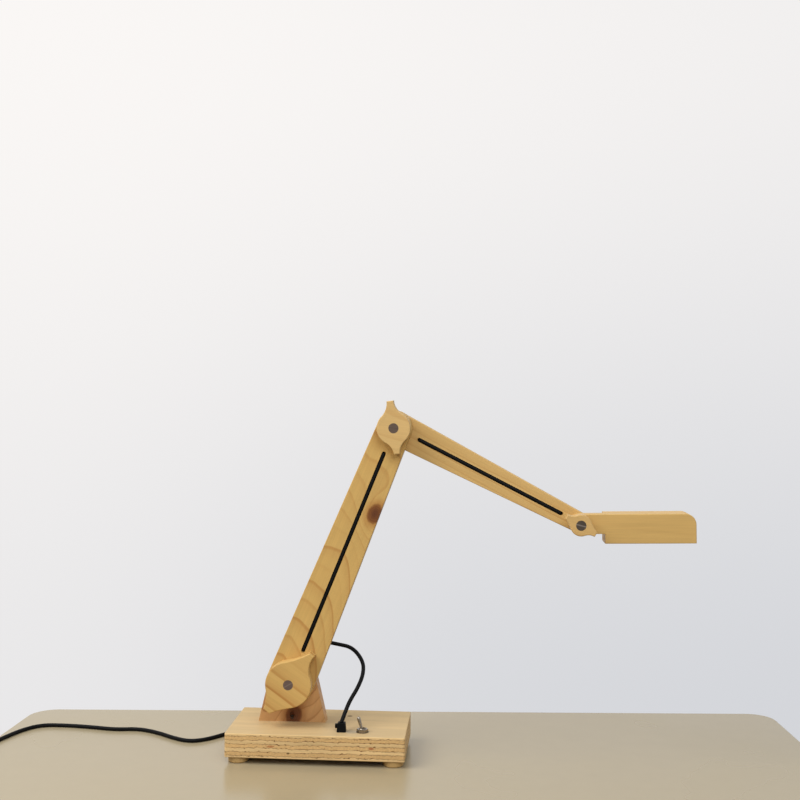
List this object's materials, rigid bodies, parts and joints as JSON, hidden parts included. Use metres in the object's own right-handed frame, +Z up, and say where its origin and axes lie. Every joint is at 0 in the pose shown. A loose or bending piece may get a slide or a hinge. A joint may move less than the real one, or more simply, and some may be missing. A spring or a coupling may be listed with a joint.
{
  "type": "articulated desk lamp",
  "caption": "Wooden swing-arm desk lamp on a plywood base, with wing knobs at its pivots, an inlaid cord, a slim LED head and a toggle switch.",
  "frame": {"origin": "middle of the lamp's overall length and depth at table level, measured without the free supply lead", "axes": "+X from the base towards the head, +Y from the front to the back, +Z up"},
  "size_m": [0.6321, 0.1317, 0.286],
  "materials": {
    "plywood": "unfinished birch-faced plywood, satin",
    "pine": "oiled pine, satin",
    "turned_wood": "oiled wood, satin",
    "zinc_steel": "zinc plated",
    "nickel": "nickel plated, polished",
    "black_nylon": "satin",
    "black_cable": "matt PVC sheath",
    "black_rubber": "matt",
    "switch_case": "blue phenolic, satin",
    "terminal_brass": "tinned brass",
    "white_nylon": "natural nylon",
    "lead_red": "PVC insulation",
    "board_white": "aluminium core board, white solder mask",
    "led_phosphor": "phosphor in white housings",
    "opal": "opal diffusing acrylic"
  },
  "bodies": {
    "base": {"base_board": "plywood", "cavity_cover": "plywood", "pivot_bracket": "pine", "toe_screw": "zinc_steel", "bracket_screws": "zinc_steel", "cover_screws": "zinc_steel", "foot_front_left": "turned_wood", "foot_front_right": "turned_wood", "foot_back_left": "turned_wood", "foot_back_right": "turned_wood", "strain_relief": "black_nylon", "back_grommet": "black_rubber", "switch_body": "switch_case", "switch_terminals": "terminal_brass", "switch_bushing": "nickel", "switch_washer": "nickel", "switch_nut": "nickel", "joint_block": "white_nylon", "joint_block_screws": "zinc_steel", "switch_leads": "lead_red", "arm_cord_tail": "black_cable", "supply_cord_tail": "black_cable", "base_cord_loop": "black_cable", "base_nut": "zinc_steel", "supply_cord": "black_cable", "supply_cord_coil": "black_cable", "plug_cord": "black_cable", "plug_grip": "black_nylon", "plug_shell": "nickel", "plug_tongue": "white_nylon"},
    "toggle_lever": {"toggle_lever": "nickel"},
    "lower_arm": {"lower_arm": "pine", "lower_arm_cord": "black_cable", "elbow_cord_loop": "black_cable"},
    "upper_arm": {"upper_arm": "pine", "upper_arm_cord": "black_cable", "elbow_nut": "zinc_steel", "head_nut": "zinc_steel", "head_cord_loop": "black_cable"},
    "head": {"head_front": "pine", "head_back": "pine", "led_board": "board_white", "led_chips": "led_phosphor", "led_board_screws": "zinc_steel", "diffuser": "opal", "head_cord_tail": "black_cable", "head_leads": "lead_red"},
    "base_knob": {"base_knob": "pine", "base_stud": "zinc_steel"},
    "elbow_knob": {"elbow_knob": "pine", "elbow_stud": "zinc_steel"},
    "head_knob": {"head_knob": "pine", "head_stud": "zinc_steel"}
  },
  "joints": [
    {"name": "base_pivot", "type": "hinge", "parent": "base", "child": "lower_arm", "pos_m": [-0.13664, -0.0045, 0.059], "axis": [0, 1, 0], "range_deg": [-40, 12], "deforming": ["base_cord_loop"]},
    {"name": "elbow_pivot", "type": "hinge", "parent": "lower_arm", "child": "upper_arm", "pos_m": [-0.0542, -0.0045, 0.26405], "axis": [0, 1, 0], "range_deg": [-75, 20], "deforming": ["elbow_cord_loop"]},
    {"name": "head_pivot", "type": "hinge", "parent": "upper_arm", "child": "head", "pos_m": [0.09343, -0.0045, 0.18948], "axis": [0, 1, 0], "range_deg": [-73, 60], "deforming": ["head_cord_loop"]},
    {"name": "base_knob_turn", "type": "hinge", "parent": "base", "child": "base_knob", "pos_m": [-0.13664, -0.0045, 0.059], "axis": [0, 1, 0], "continuous": true},
    {"name": "elbow_knob_turn", "type": "hinge", "parent": "upper_arm", "child": "elbow_knob", "pos_m": [-0.0542, -0.0045, 0.26405], "axis": [0, 1, 0], "continuous": true},
    {"name": "head_knob_turn", "type": "hinge", "parent": "upper_arm", "child": "head_knob", "pos_m": [0.09343, -0.0045, 0.18948], "axis": [0, 1, 0], "continuous": true},
    {"name": "switch_toggle", "type": "hinge", "parent": "base", "child": "toggle_lever", "pos_m": [-0.07673, -0.028, 0.0248], "axis": [0, 1, 0], "range_deg": [0, 34]}
  ]
}
